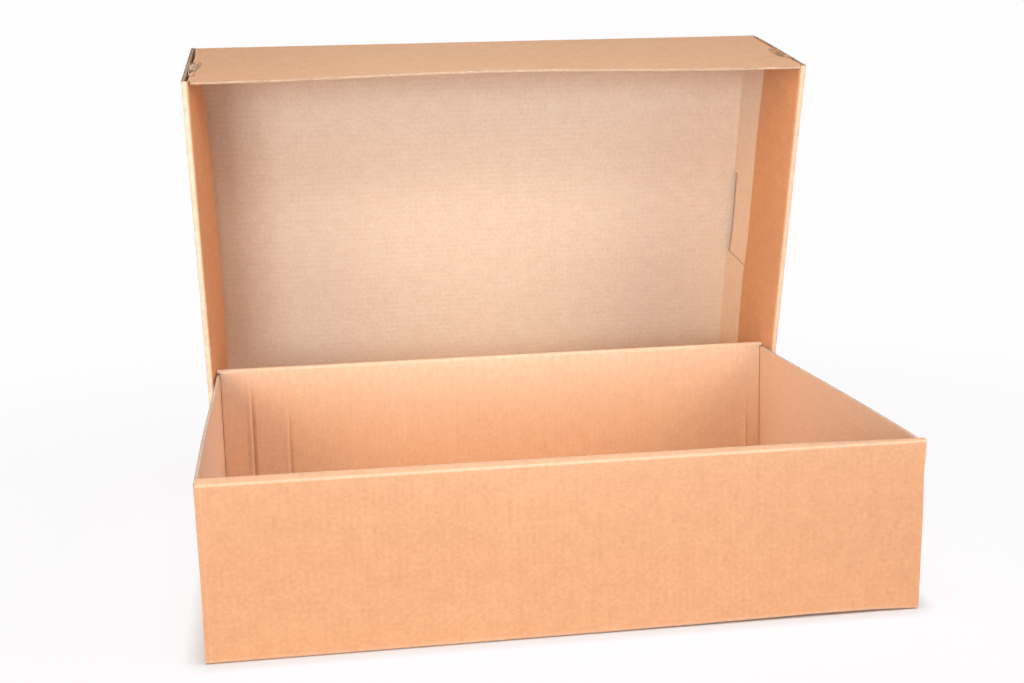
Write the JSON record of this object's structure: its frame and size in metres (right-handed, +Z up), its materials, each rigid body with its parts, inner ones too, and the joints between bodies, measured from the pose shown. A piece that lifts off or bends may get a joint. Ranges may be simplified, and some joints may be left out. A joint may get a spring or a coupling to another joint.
{
  "type": "open cardboard box",
  "caption": "Corrugated cardboard box: an open tray with rolled-over long walls, and its full-depth lift-off lid standing on edge behind it.",
  "frame": {"origin": "centre of the base tray's underside, on the surface it stands on", "axes": "+Z up out of the tray's mouth, +X along the tray's length, +Y to the back, where the lid stands"},
  "size_m": [0.6604, 0.6593, 0.5204],
  "materials": {
    "base_board": "matt brown kraft liner, paler inside",
    "lid_board": "matt brown kraft liner, paler inside"
  },
  "bodies": {
    "root": {"base_tray": "base_board", "lid": "lid_board"}
  },
  "joints": []
}
